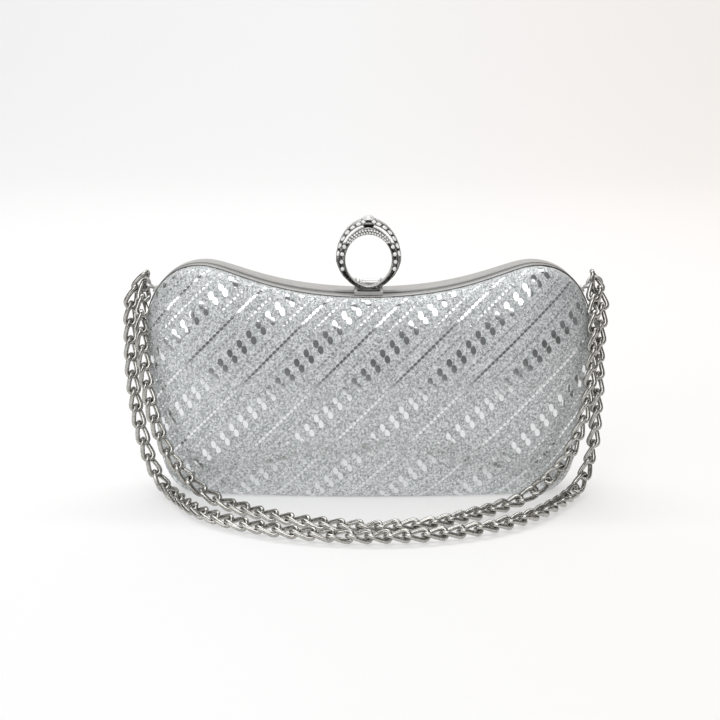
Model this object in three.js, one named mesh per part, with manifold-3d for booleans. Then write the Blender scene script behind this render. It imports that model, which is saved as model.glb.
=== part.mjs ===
// Evening bag: a hard clamshell clutch with a fabric-covered shell in each half,
// a metal frame round both rims, a hinge along the base, a finger-ring clasp on
// top and a doubled curb chain. Millimetres, +Z up, front faces -Y, X is width.
// The front half is the fixed one; the back half and the finger ring turn.
import * as THREE from 'three';
import Module from 'manifold-3d';
import { mergeVertices } from 'three/addons/utils/BufferGeometryUtils.js';

const wasm = await Module();
wasm.setup();

// ---------------------------------------------------------------- driving sizes
const bodyWidth = 210;        // widest, a little above the middle
const crestHeight = 110;      // top of each shoulder
const dipHeight = 96;         // top of the frame in the middle
const wideHeight = 72;        // height of the widest place
const crestFromSide = 28;     // shoulder crest, in from the widest place
const footFromSide = 25;      // end of the flat base, in from the widest place
const cornerFromSide = 6.5;   // top of the bottom corner's bend, in from the widest
const cornerHeight = 20;      // height of the bottom corner's bend
const baseFlare = 10;         // the base's run past its foot, into the corner
const cornerPull = 1.5;       // corner's handle, inside its bend
const cornerEase = 0.4;       // height of that handle, as a share of the bend's
const sideSwell = 2;          // leaning side's swell above the corner
const sideEaseLow = 0.35;     // its two handles, as shares of the side's rise
const sideEaseHigh = 0.33;
const shoulderEase = 0.53;    // shoulder's handle, as a share of its rise
const crestRun = 19;          // shoulder's run outside the crest
const dipRun = 13;            // S-curve's run inside the crest
const dipEase = 0.62;         // its handle at the dip, as a share of the crest's place
const bodyDepth = 54;         // front crown to back crown
const outlinePoints = 56;     // points round the outline, an even number

const clearance = 0.3;        // air between pieces that touch in the real bag
const frameWall = 1.4;        // metal of the rim band
const frameDepthMiddle = 14.5; // band depth of one half at the middle of the bag
const frameDepthSide = 5;     // band depth of one half at the widest place
const coverInset = 0.7;       // how far the frame stands proud of the fabric
const coverWall = 0.9;        // fabric and its padding
const shellWall = 1.6;        // moulded board shell
const liningWall = 0.6;       // satin lining
const liningGap = 0.6;        // glue and wadding between shell and lining
const rimSetback = 1.8;       // shell and lining stop this far from the parting plane
const cornerFullness = 2.3;   // how square the dome's shoulder is

const hingeX = 46;            // centre of each hinge from the middle
const hingeLength = 24;
const hingeHeight = 2.3;      // axis above the base
const knuckleRadius = 1.45;
const hingePinRadius = 0.6;
const leafWall = 0.8;
const leafReach = 8;          // how far a leaf runs from the axis
const leafRootShare = 0.7;    // where a leaf starts, as a share of the knuckle's radius
const knuckleCut = 3;         // half height of the cutters that part the knuckles
const bevelSpare = 5;         // degrees of bevel beyond half the opening
const bevelSpread = 2;        // how far the bevel's cutter runs below the base
const notchSpare = 0.2;       // notch's height beyond the shell's wall
const openingLimit = 50;      // degrees that the back half swings

const ringHoleWidth = 21.7;   // finger ring, inside
const ringHoleHeight = 24.5;
const ringSide = 4.4;         // band thickness at the sides
const ringCrown = 5.2;        // band thickness at the top
const ringSole = 1.6;         // band thickness at the bottom
const ringDepth = 7;          // band width along Y
const ringSetback = 2.5;      // centre of the band behind the parting plane
const soleOverlap = 0.2;      // band's sole sunk into the tongue
const seatDepth = 1.4;        // flat cut in the band's top for the setting
const footWidth = 10.2;       // block under the band, between the bracket's ears
const tongueWall = 1.3;
const tongueLift = 0.9;       // underside of the tongue above the frame
const tongueReach = 12;       // tip in front of the parting plane
const claspAxisBack = 9;      // pivot behind the parting plane
const claspBarrelRadius = 1.9;
const claspPinRadius = 0.8;
const earWall = 1.2;
const earReach = 1.9;         // bracket's ears, from the pin's axis to their edges
const bracketPlate = 1;       // wall of the bracket's plate
const keeperBar = 1.4;        // keeper's bar in front of the tongue's tip
const keeperLap = 1;          // how far its cheeks run into the bar
const keeperDrop = 0.4;       // keeper's top below the tongue's
const keeperBack = 2;         // end of the cheeks in front of the parting plane
const latchSpringWidth = 5;
const latchSpringShort = 1;   // spring's tip behind the tongue's
const latchSpringBack = 3;    // its root in front of the parting plane
const crownStoneRadius = 3.1; // outside its collar
const crownCollar = 0.4;      // collar round the stone
const settingFoot = 0.75;     // setting's foot, as a share of the stone's radius
const settingFlare = 0.5;     // its rim beyond the stone's radius
const settingLip = 0.2;       // its inside edge within the stone's radius
const settingHeight = 2.4;
const settingBowl = 0.6;      // bottom of its bowl
const crownStoneLift = 3.1;   // girdle above the seat
const stoneDepth = 0.75;      // girdle to culet, as a share of a stone's radius
const stoneCrown = 0.42;      // girdle to table
const arcStoneRadius = 1.25;
const arcStones = 8;
const arcStart = 20;          // degrees from the crown to the first of them
const arcPitch = 17;
const arcTrack = 0.6;         // where they sit, as a share of the band's thickness

const lugEyeRadius = 2.0;     // centre line of the eye
const lugWire = 0.7;          // radius of its wire
const lugStem = 1.2;          // from the frame to the eye's centre line
const lugFront = 3.2;         // lug in front of the parting plane
const lugFootRadius = 1.9;
const lugFootWall = 0.7;
const lugTurn = 0.5;          // upward part of the outline's normal where the lug stands
const jumpRingRadius = 3.4;
const jumpRingWire = 0.7;
const jumpRingRise = 11;      // degrees above level from the eye to its centre
const chainDiameter = 6.4;    // round envelope of the curb chain's links
const chainSides = 8;
const outerSteps = 34;        // lengths of tube along each strand
const innerSteps = 32;

const pocketWidth = 84;
const pocketHeight = 44;
const pocketWall = 0.6;

const halfWidth = bodyWidth / 2;
const radians = THREE.MathUtils.degToRad;

// ---------------------------------------------------------------- finishes
const finish = (color, roughness, metalness) => () =>
  new THREE.MeshStandardMaterial({ color, roughness, metalness });
const silverFabric = finish(0xbfc6c9, 0.55, 0.3);
const nickel = finish(0xb9b6b0, 0.22, 1);
const antiqueSilver = finish(0x9a9791, 0.3, 1);
const chainSilver = finish(0x8f8b84, 0.3, 1);
const steel = finish(0x8d9094, 0.4, 1);
const board = finish(0xd8d5cf, 0.8, 0);
const satin = finish(0xa9adb1, 0.45, 0);
const crystal = finish(0xeef3f6, 0.05, 0.1);

// ---------------------------------------------------------------- outline
// Half of the frame's outline in the XZ plane, from the base to the dip, counter-
// clockwise: flat base, bottom corner, leaning side, shoulder, S-curve to the dip.
function halfOutline() {
  const footX = halfWidth - footFromSide;
  const cornerX = halfWidth - cornerFromSide;
  const crestX = halfWidth - crestFromSide;
  const sideRise = wideHeight - cornerHeight;
  const shoulderRise = crestHeight - wideHeight;
  const path = new THREE.Path();
  path.moveTo(0, 0);
  path.lineTo(footX, 0);
  path.bezierCurveTo(footX + baseFlare, 0, cornerX - cornerPull, cornerHeight * cornerEase,
    cornerX, cornerHeight);
  path.bezierCurveTo(cornerX + sideSwell, cornerHeight + sideRise * sideEaseLow, halfWidth,
    wideHeight - sideRise * sideEaseHigh, halfWidth, wideHeight);
  path.bezierCurveTo(halfWidth, wideHeight + shoulderRise * shoulderEase, crestX + crestRun,
    crestHeight, crestX, crestHeight);
  path.bezierCurveTo(crestX - dipRun, crestHeight, crestX * dipEase, dipHeight, 0, dipHeight);
  return path;
}

// Outline stations: place, outward normal and the frame's depth there.
function outlineStations() {
  const path = halfOutline();
  const steps = outlinePoints / 2;
  const right = [];
  for (let i = 0; i <= steps; i++) {
    const u = i / steps;
    const place = path.getPointAt(u);
    const along = path.getTangentAt(u);
    right.push({ x: place.x, z: place.y, nx: along.y, nz: -along.x });
  }
  Object.assign(right[0], { x: 0, nx: 0, nz: -1 });
  Object.assign(right[steps], { x: 0, nx: 0, nz: 1 });
  const left = right.slice(1, steps).reverse().map((s) => ({ x: -s.x, z: s.z, nx: -s.nx, nz: s.nz }));
  const stations = right.concat(left);
  for (const s of stations) {
    const share = (s.x / halfWidth) ** 2;
    s.depth = frameDepthMiddle + (frameDepthSide - frameDepthMiddle) * share;
  }
  return stations;
}
const stations = outlineStations();

// ---------------------------------------------------------------- solids
function signedVolume(positions, index) {
  const at = (i) => new THREE.Vector3().fromArray(positions, 3 * i);
  let volume = 0;
  for (let i = 0; i < index.length; i += 3) {
    volume += at(index[i]).dot(at(index[i + 1]).cross(at(index[i + 2]))) / 6;
  }
  return volume;
}

function solidFrom(positions, index) {
  if (signedVolume(positions, index) < 0) {
    index.reverse();
  }
  const geometry = new THREE.BufferGeometry();
  geometry.setAttribute('position', new THREE.Float32BufferAttribute(positions, 3));
  geometry.setIndex(index);
  return geometry;
}

// Rings of equal length joined in order. A loop joins the last ring to the first;
// otherwise both ends are closed by a cap over the ring's own outline.
function loft(rings, loop) {
  const count = rings[0].length;
  const positions = rings.flat().flatMap((p) => [p.x, p.y, p.z]);
  const index = [];
  const bands = loop ? rings.length : rings.length - 1;
  for (let r = 0; r < bands; r++) {
    const next = (r + 1) % rings.length;
    for (let i = 0; i < count; i++) {
      const j = (i + 1) % count;
      const [a, b, c, d] = [r * count + i, r * count + j, next * count + j, next * count + i];
      index.push(a, b, c, a, c, d);
    }
  }
  if (!loop) {
    capRing(rings, 0, index, false);
    capRing(rings, rings.length - 1, index, true);
  }
  return solidFrom(positions, index);
}

function capRing(rings, which, index, turned) {
  const flat = rings[which].map((p) => new THREE.Vector2(p.x, p.z));
  const base = which * flat.length;
  for (const [a, b, c] of THREE.ShapeUtils.triangulateShape(flat, [])) {
    const corner = turned ? [a, b, c] : [c, b, a];
    index.push(base + corner[0], base + corner[1], base + corner[2]);
  }
}

function toManifold(geometry) {
  let plain = geometry.clone();
  plain.deleteAttribute('normal');
  plain.deleteAttribute('uv');
  plain = mergeVertices(plain, 1e-4);
  return new wasm.Manifold(new wasm.Mesh({
    numProp: 3,
    vertProperties: new Float32Array(plain.attributes.position.array),
    triVerts: new Uint32Array(plain.index.array),
  }));
}

function fromManifold(solid) {
  const mesh = solid.getMesh();
  return solidFrom(Array.from(mesh.vertProperties), Array.from(mesh.triVerts));
}

const cut = (geometry, ...tools) =>
  fromManifold(tools.reduce((solid, tool) => solid.subtract(toManifold(tool)), toManifold(geometry)));
const join = (...pieces) =>
  fromManifold(pieces.slice(1).reduce((solid, piece) => solid.add(toManifold(piece)), toManifold(pieces[0])));

// Box between two opposite corners.
function box(x0, x1, y0, y1, z0, z1) {
  const solid = new THREE.BoxGeometry(x1 - x0, y1 - y0, z1 - z0);
  return solid.translate((x0 + x1) / 2, (y0 + y1) / 2, (z0 + z1) / 2);
}

// Cylinder lying along X at a height and depth.
function barrel(radius, x0, x1, y, z, sides = 20) {
  const solid = new THREE.CylinderGeometry(radius, radius, x1 - x0, sides);
  return solid.rotateZ(Math.PI / 2).translate((x0 + x1) / 2, y, z);
}

// Closed ring of round wire about the Y axis.
function wireRing(radius, wire, steps = 20, sides = 8) {
  const profile = [];
  for (let i = 0; i <= sides; i++) {
    const turn = (2 * Math.PI * i) / sides;
    profile.push(new THREE.Vector2(radius + wire * Math.cos(turn), wire * Math.sin(turn)));
  }
  profile[sides].copy(profile[0]);
  return new THREE.LatheGeometry(profile, steps);
}

const object = new THREE.Group();
function add(group, name, geometry, material) {
  const mesh = new THREE.Mesh(geometry, material());
  mesh.name = name;
  group.add(mesh);
  return mesh;
}

// ---------------------------------------------------------------- shells and frames
// side is -1 for the front half and +1 for the back half.

function ringAt(inset, depthAt) {
  return stations.map((s) => new THREE.Vector3(s.x - s.nx * inset, depthAt(s), s.z - s.nz * inset));
}

// A ring part of the way up the dome: the outline drawn in toward a spine that
// runs along X, and raised toward the crown as a superellipse.
const spineHalf = halfWidth - 52;
const spineHeight = (dipHeight + 4) / 2;
const domeSteps = [0.04, 0.14, 0.34, 0.66];
function domeRing(inset, share, crown, side) {
  const rise = (1 - (1 - share) ** cornerFullness) ** (1 / cornerFullness);
  return stations.map((s) => {
    const x = s.x - s.nx * inset;
    const z = s.z - s.nz * inset;
    const spineX = THREE.MathUtils.clamp(x, -spineHalf, spineHalf);
    const rim = s.depth + clearance;
    return new THREE.Vector3(
      x + (spineX - x) * share,
      side * (rim + (crown - rim) * rise),
      z + (spineHeight - z) * share,
    );
  });
}

// One layer of a half: fabric cover, board shell or satin lining. Its rim starts
// at rimDepth from the parting plane, or just past the frame for the cover.
function layer(inset, wall, side, rimDepth) {
  const crown = bodyDepth / 2 - (inset - coverInset);
  const outer = domeSteps.map((share) => domeRing(inset, share, crown, side));
  const inner = domeSteps.map((share) => domeRing(inset + wall, share, crown - wall, side));
  const pastFrame = (s) => side * (s.depth + clearance);
  if (rimDepth === null) {
    return loft([...inner.reverse(), ringAt(inset + wall, pastFrame), ringAt(inset, pastFrame), ...outer]);
  }
  const rim = () => side * rimDepth;
  return loft([
    ...inner.reverse(), ringAt(inset + wall, pastFrame), ringAt(inset + wall, rim),
    ringAt(inset, rim), ringAt(inset, pastFrame), ...outer,
  ]);
}

const shellInset = coverInset + coverWall + clearance;
const liningInset = shellInset + shellWall + liningGap;

// Notch for a hinge, cut from whatever reaches into its place.
function hingeNotch(x, side, reach, z0, z1) {
  const half = hingeLength / 2 + clearance;
  const [near, far] = side < 0 ? [-reach, 1] : [-1, reach];
  return box(x - half, x + half, near, far, z0, z1);
}

// Bevel that lets the two frames' bottom edges pass as the bag opens: a wedge
// with its edge on the hinge axis.
function baseBevel() {
  const halfAngle = radians(openingLimit / 2 + bevelSpare);
  const drop = hingeHeight + bevelSpread;
  const spread = drop * Math.tan(halfAngle);
  const wedge = new THREE.Shape();
  wedge.moveTo(0, hingeHeight);
  wedge.lineTo(spread, hingeHeight - drop);
  wedge.lineTo(-spread, hingeHeight - drop);
  const solid = new THREE.ExtrudeGeometry(wedge, { depth: bodyWidth, bevelEnabled: false });
  // The shape's own X becomes Y and its Y becomes Z; the extrusion runs along X.
  return solid.applyMatrix4(new THREE.Matrix4().makeBasis(
    new THREE.Vector3(0, 1, 0), new THREE.Vector3(0, 0, 1), new THREE.Vector3(1, 0, 0),
  )).translate(-halfWidth, 0, 0);
}

function frameBand(side) {
  const parting = () => side * clearance / 2;
  const edge = (s) => side * s.depth;
  const band = loft([
    ringAt(0, parting), ringAt(0, edge), ringAt(frameWall, edge), ringAt(frameWall, parting),
  ], true);
  const notches = [-hingeX, hingeX].map((x) =>
    hingeNotch(x, side, knuckleRadius + clearance, -bevelSpread, hingeHeight + bevelSpread));
  return cut(band, baseBevel(), ...notches);
}

function boardShell(side) {
  const reach = leafReach + clearance;
  const notches = [-hingeX, hingeX].map((x) =>
    hingeNotch(x, side, reach, 0, shellInset + shellWall + notchSpare));
  return cut(layer(shellInset, shellWall, side, rimSetback), ...notches);
}

function half(group, word, side) {
  add(group, `${word}_frame`, frameBand(side), nickel);
  add(group, `${word}_shell`, boardShell(side), board);
  add(group, `${word}_cover`, layer(coverInset, coverWall, side, null), silverFabric);
  add(group, `${word}_lining`, layer(liningInset, liningWall, side, rimSetback), satin);
}

// ---------------------------------------------------------------- hinges
// Leaf with its knuckles; the front leaf has the two outer ones.
function hingeLeaf(side) {
  const knuckle = hingeLength / 3;
  const half = hingeLength / 2;
  const bore = barrel(hingePinRadius + clearance, -hingeLength, hingeLength, 0, 0, 14);
  const plateTop = frameWall + clearance + leafWall - hingeHeight;
  const leafRoot = knuckleRadius * leafRootShare;
  const [near, far] = side < 0 ? [-leafReach, -leafRoot] : [leafRoot, leafReach];
  const plate = box(-half, half, near, far, plateTop - leafWall, plateTop);
  const middle = box(-knuckle / 2 - clearance, knuckle / 2 + clearance,
    -knuckleRadius - clearance, knuckleRadius + clearance, -knuckleCut, knuckleCut);
  const ends = [-1, 1].map((way) => {
    const [x0, x1] = [way * knuckle / 2, way * (half + clearance)].sort((a, b) => a - b);
    return box(x0, x1, -knuckleRadius - clearance, knuckleRadius + clearance, -knuckleCut, knuckleCut);
  });
  const round = side < 0
    ? barrel(knuckleRadius, -half, half, 0, 0, 16)
    : barrel(knuckleRadius, -knuckle / 2, knuckle / 2, 0, 0, 16);
  return side < 0
    ? cut(join(plate, round), bore, middle)
    : cut(join(cut(plate, ...ends), round), bore);
}

function hinge(front, back, word, x) {
  const places = [
    add(front, `hinge_${word}_front_leaf`, hingeLeaf(-1), steel),
    add(back, `hinge_${word}_back_leaf`, hingeLeaf(1), steel),
    add(front, `hinge_${word}_pin`,
      barrel(hingePinRadius, -hingeLength / 2, hingeLength / 2, 0, 0, 12), steel),
  ];
  for (const mesh of places) {
    mesh.position.set(x, 0, hingeHeight);
  }
}

// ---------------------------------------------------------------- clasp
const ringSoleHeight = dipHeight + tongueLift + tongueWall - soleOverlap;
const ringCentreHeight = ringSoleHeight + ringHoleHeight / 2;
const claspAxisHeight = dipHeight + clearance + claspBarrelRadius + clearance;
const ringTop = ringSoleHeight + ringHoleHeight + ringCrown;

// Finger band seen along Y: an oval hole in an oval that is thickest at the crown.
function bandAround(steps) {
  const holeCurve = [];
  const rimCurve = [];
  for (let i = 0; i < steps; i++) {
    const turn = (2 * Math.PI * i) / steps;
    const up = Math.sin(turn);
    const extra = up > 0 ? ringSide + (ringCrown - ringSide) * up : ringSide + (ringSole - ringSide) * -up;
    const [hx, hz] = [Math.cos(turn) * ringHoleWidth / 2, up * ringHoleHeight / 2];
    holeCurve.push(new THREE.Vector2(hx, hz));
    rimCurve.push(new THREE.Vector2(hx + Math.cos(turn) * extra, hz + up * extra));
  }
  const shape = new THREE.Shape(rimCurve);
  shape.holes.push(new THREE.Path(holeCurve.reverse()));
  const solid = new THREE.ExtrudeGeometry(shape, { depth: ringDepth, bevelEnabled: false });
  return solid.rotateX(Math.PI / 2).translate(0, ringSetback + ringDepth / 2, ringCentreHeight);
}

function fingerRing() {
  const tongueBottom = dipHeight + tongueLift;
  const tongue = box(-footWidth / 2, footWidth / 2, -tongueReach, claspAxisBack,
    tongueBottom, tongueBottom + tongueWall);
  const swing = claspBarrelRadius + clearance;
  const springRoom = box(-footWidth / 2 - clearance, -footWidth / 2 + claspBarrelRadius,
    claspAxisBack - swing,
    claspAxisBack + swing, tongueBottom - clearance, claspAxisHeight + swing);
  const roundEnd = barrel(claspBarrelRadius, -footWidth / 2 + claspBarrelRadius, footWidth / 2,
    claspAxisBack, claspAxisHeight, 16);
  const bore = barrel(claspPinRadius + clearance, -footWidth, footWidth, claspAxisBack, claspAxisHeight, 14);
  const seat = box(-ringHoleWidth / 2, ringHoleWidth / 2, ringSetback - ringDepth, ringSetback + ringDepth,
    ringTop - seatDepth, ringTop + ringCrown);
  return cut(join(cut(bandAround(44), seat), tongue, roundEnd), bore, springRoom);
}

function claspBracket() {
  const inner = footWidth / 2 + clearance;
  const plateBottom = dipHeight + clearance;
  const plateFront = claspAxisBack + claspBarrelRadius + clearance;
  const plateBack = plateFront + earWall;
  const plate = box(-inner - earWall, inner + earWall, plateFront, plateBack, plateBottom,
    plateBottom + bracketPlate);
  const ears = [-inner - earWall, inner].map((x) => box(x, x + earWall, claspAxisBack - earReach,
    plateBack, plateBottom + clearance, claspAxisHeight + earReach));
  const bore = barrel(claspPinRadius + clearance, -footWidth, footWidth, claspAxisBack, claspAxisHeight, 14);
  return cut(join(plate, ...ears), bore);
}

function latchKeeper() {
  const inner = footWidth / 2 + clearance;
  const bottom = dipHeight + clearance;
  const top = dipHeight + tongueLift + tongueWall - keeperDrop;
  const bar = box(-inner - earWall, inner + earWall, -tongueReach - clearance - keeperBar,
    -tongueReach - clearance, bottom, top);
  const cheeks = [-inner - earWall, inner].map((x) =>
    box(x, x + earWall, -tongueReach - clearance - keeperLap, -keeperBack, bottom + clearance, top));
  return join(bar, ...cheeks);
}

// Brilliant-cut stone: table, girdle and culet, about its own Z axis.
function stone(radius, sides) {
  const profile = [[0, -stoneDepth], [1, 0], [0.97, 0.1], [0.6, stoneCrown], [0, stoneCrown]];
  return new THREE.LatheGeometry(profile.map(([r, z]) => new THREE.Vector2(r * radius, z * radius)), sides)
    .rotateX(Math.PI / 2);
}

// Where the crown's own stones sit: on the band's front face, along the arc.
function arcStonePlace(i) {
  const turn = radians(90 + (i < arcStones / 2 ? 1 : -1) * (arcStart + arcPitch * (i % (arcStones / 2))));
  const radius = ringHoleWidth / 2 + ringSide * arcTrack;
  const rise = ringHoleHeight / 2 + ringCrown * arcTrack;
  return [Math.cos(turn) * radius, ringSetback - ringDepth / 2 - clearance - arcStoneRadius * stoneDepth,
    ringCentreHeight + Math.sin(turn) * rise];
}

function crown(group) {
  const seatTop = ringTop - seatDepth + clearance;
  const setting = new THREE.LatheGeometry([
    [0, 0], [crownStoneRadius * settingFoot, 0], [crownStoneRadius + settingFlare, settingHeight],
    [crownStoneRadius - settingLip, settingHeight], [0, settingBowl],
  ].map(([r, z]) => new THREE.Vector2(r, z)), 20).rotateX(Math.PI / 2);
  add(group, 'crown_setting', setting, antiqueSilver).position.set(0, ringSetback, seatTop);
  add(group, 'crown_stone', stone(crownStoneRadius - crownCollar, 16), crystal)
    .position.set(0, ringSetback, seatTop + crownStoneLift);
  for (let i = 0; i < arcStones; i++) {
    const gem = add(group, `arc_stone_${i + 1}`, stone(arcStoneRadius, 10), crystal);
    gem.rotation.x = Math.PI / 2;
    gem.position.set(...arcStonePlace(i));
  }
}

function clasp(front, back, lever) {
  add(front, 'latch_keeper', latchKeeper(), nickel);
  const spring = box(-latchSpringWidth / 2, latchSpringWidth / 2, latchSpringShort - tongueReach,
    -latchSpringBack, dipHeight + clearance, dipHeight + tongueLift - clearance);
  add(front, 'latch_spring', spring, steel);
  add(back, 'clasp_bracket', claspBracket(), nickel);
  const pinHalf = footWidth / 2 + clearance + earWall;
  add(back, 'clasp_pin', barrel(claspPinRadius, -pinHalf, pinHalf, claspAxisBack,
    claspAxisHeight, 14), steel);
  const coil = wireRing((claspPinRadius + claspBarrelRadius + clearance) / 2,
    (claspBarrelRadius - claspPinRadius - clearance) / 2, 16, 6);
  coil.rotateZ(Math.PI / 2);
  add(back, 'clasp_spring', coil, steel)
    .position.set(-footWidth / 2 + claspBarrelRadius / 2, claspAxisBack, claspAxisHeight);
  add(lever, 'finger_ring', fingerRing(), antiqueSilver);
  crown(lever);
}

// ---------------------------------------------------------------- chain
// Lug on the shoulder: the first station past the widest place whose outward
// normal has turned more than a third of the way up.
function lugStation() {
  return stations.find((s) => s.x > 0 && s.z > wideHeight && s.nz > lugTurn);
}

function lug(group, word, way) {
  const { x, z, nx, nz } = lugStation();
  const out = lugEyeRadius + lugStem + clearance;
  const eye = wireRing(lugEyeRadius, lugWire).rotateZ(Math.PI / 2);
  const stem = new THREE.CylinderGeometry(lugWire, lugWire, lugStem, 12)
    .rotateX(Math.PI / 2).translate(0, 0, -lugEyeRadius - lugStem / 2);
  const foot = new THREE.CylinderGeometry(lugFootRadius, lugFootRadius, lugFootWall, 14)
    .rotateX(Math.PI / 2).translate(0, 0, -lugEyeRadius - lugStem + lugFootWall / 2);
  const mesh = add(group, `lug_${word}`, join(eye, stem, foot), nickel);
  const [eyeX, eyeZ] = [way * (x + nx * out), z + nz * out];
  mesh.position.set(eyeX, -lugFront, eyeZ);
  mesh.rotation.y = Math.atan2(way * nx, nz);
  const rise = radians(jumpRingRise);
  add(group, `jump_ring_${word}`, wireRing(jumpRingRadius, jumpRingWire), chainSilver).position.set(
    eyeX + way * jumpRingRadius * Math.cos(rise), -lugFront, eyeZ + jumpRingRadius * Math.sin(rise));
}

// Routes of the two strands' centre lines, left lug to right lug: down beside or
// in front of the bag's end, then along the table in front. Chosen by hand.
const outerRoute = [
  [-109.6, -4.8, 93.6], [-110.4, -5.6, 89], [-110.8, -6.6, 80], [-110.8, -8, 62], [-109.2, -9, 43],
  [-105.9, -10.8, 26], [-101.4, -13, 13.5], [-96, -17, 6.2], [-90.5, -24, 4.3], [-84.5, -35, 4.1],
  [-77.5, -46, 4.1], [-66.5, -57, 4.1], [-52, -66.5, 4.1], [-34, -74.5, 4.1], [-14, -79.3, 4.1],
  [6, -80.3, 4.1], [26, -77.8, 4.1], [45, -71.5, 4.1], [61, -62.5, 4.1], [73.5, -52, 4.1],
  [83.5, -40, 4.1], [91.5, -28, 4.3], [98, -19, 6], [103, -13.3, 13], [106.2, -10.8, 26],
  [107.6, -9.2, 43], [108, -8.2, 62], [108.4, -6.8, 80], [108.6, -5.6, 89], [108.2, -4.8, 93.6],
];
const innerRoute = [
  [-104.6, -10.2, 92], [-105.4, -15.2, 84], [-104.6, -19.4, 70], [-102.6, -22.4, 54],
  [-98.4, -25, 38], [-91.6, -28.3, 24], [-82, -31.3, 13], [-71, -35.7, 6.4], [-59.5, -42, 4.3],
  [-46, -51.5, 4.1], [-30, -60.5, 4.1], [-11, -67, 4.1], [8, -68, 4.1], [27, -63.5, 4.1],
  [43.5, -54, 4.1], [57.5, -43.5, 4.3], [70, -36.5, 6.4], [81.5, -31.7, 13], [91.5, -28.8, 24],
  [98.2, -25.4, 38], [102.2, -22.6, 54], [104.2, -19.4, 70], [105, -15.2, 84], [104.6, -10.2, 92],
];

function chainTube(route, steps) {
  const path = new THREE.CatmullRomCurve3(route.map((p) => new THREE.Vector3(...p)), false, 'centripetal');
  const section = new THREE.Shape();
  for (let i = 0; i < chainSides; i++) {
    const turn = (2 * Math.PI * i) / chainSides;
    const corner = [Math.cos(turn) * chainDiameter / 2, Math.sin(turn) * chainDiameter / 2];
    if (i === 0) {
      section.moveTo(...corner);
    } else {
      section.lineTo(...corner);
    }
  }
  return new THREE.ExtrudeGeometry(section, { steps, bevelEnabled: false, extrudePath: path });
}

// ---------------------------------------------------------------- assembly
const front = new THREE.Group();
const back = new THREE.Group();
const lever = new THREE.Group();
object.add(front, back, lever);
half(front, 'front', -1);
half(back, 'back', 1);
hinge(front, back, 'left', -hingeX);
hinge(front, back, 'right', hingeX);
clasp(front, back, lever);
lug(front, 'left', -1);
lug(front, 'right', 1);
add(front, 'chain_outer', chainTube(outerRoute, outerSteps), chainSilver);
add(front, 'chain_inner', chainTube(innerRoute, innerSteps), chainSilver);

// Flat patch pocket on the back lining, clear of its curved walls.
const liningCrown = bodyDepth / 2 - (liningInset - coverInset) - liningWall;
const liningSide = domeRing(liningInset + liningWall, domeSteps[2], liningCrown, 1)
  .reduce((least, p) => Math.min(least, p.y), liningCrown);
add(back, 'slip_pocket', box(-pocketWidth / 2, pocketWidth / 2, liningSide - clearance - pocketWall,
  liningSide - clearance, spineHeight - pocketHeight / 2, spineHeight + pocketHeight / 2), satin);

export default object;
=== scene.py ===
"""Evening bag: the finished look of a fabric-covered clamshell clutch with a
finger-ring clasp and two strands of curb chain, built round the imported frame. Metres,
+Z up, the front faces -Y."""

import bpy
import numpy as np
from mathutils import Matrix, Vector

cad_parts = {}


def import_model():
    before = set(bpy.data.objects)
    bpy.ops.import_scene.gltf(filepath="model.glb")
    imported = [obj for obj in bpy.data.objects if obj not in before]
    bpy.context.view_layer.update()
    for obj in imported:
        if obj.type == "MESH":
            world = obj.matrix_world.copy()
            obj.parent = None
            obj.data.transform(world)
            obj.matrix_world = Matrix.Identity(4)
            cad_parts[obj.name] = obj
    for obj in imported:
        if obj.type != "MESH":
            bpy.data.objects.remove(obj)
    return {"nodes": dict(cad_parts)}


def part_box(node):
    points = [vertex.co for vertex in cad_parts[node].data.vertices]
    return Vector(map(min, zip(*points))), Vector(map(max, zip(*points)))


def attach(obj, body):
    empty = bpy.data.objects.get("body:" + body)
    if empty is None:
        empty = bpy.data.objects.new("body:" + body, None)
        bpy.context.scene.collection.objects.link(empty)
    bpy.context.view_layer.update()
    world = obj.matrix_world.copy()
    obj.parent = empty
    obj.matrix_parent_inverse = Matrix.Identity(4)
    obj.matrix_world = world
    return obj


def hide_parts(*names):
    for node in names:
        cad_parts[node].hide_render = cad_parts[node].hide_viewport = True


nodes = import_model()["nodes"]
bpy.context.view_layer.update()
rng = np.random.default_rng(7)
TAU = 2 * np.pi
MM = 0.001

# ------------------------------------------------------------------ sizes
HALF_WIDTH = 105 * MM
CREST = 110 * MM
DIP = 96 * MM
WIDE = 72 * MM
CREST_IN = 28 * MM
FOOT_IN = 25 * MM
CORNER_IN = 6.5 * MM
CORNER = 20 * MM
CROWN = 27 * MM
EDGE_MIDDLE = -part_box("front_frame")[0][1]
EDGE_SIDE = 5 * MM
GAP = 0.3 * MM
COVER_INSET = 0.7 * MM
FULLNESS = 2.3
HINGE_X = 46 * MM
HINGE_LENGTH = 24 * MM
HINGE_HEIGHT = 2.3 * MM
SPINE_HALF = HALF_WIDTH - 52 * MM
SPINE_HEIGHT = (DIP + 4 * MM) / 2

# ------------------------------------------------------------------ camera
camera = bpy.data.objects.new("camera", bpy.data.cameras.new("camera"))
bpy.context.collection.objects.link(camera)
camera.location = (-0.004, -0.6105, 0.1964)
camera.rotation_euler = (np.radians(90 - 12.33), 0, 0)
camera.data.lens = 66
camera.data.sensor_width = 36
bpy.context.scene.camera = camera


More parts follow.
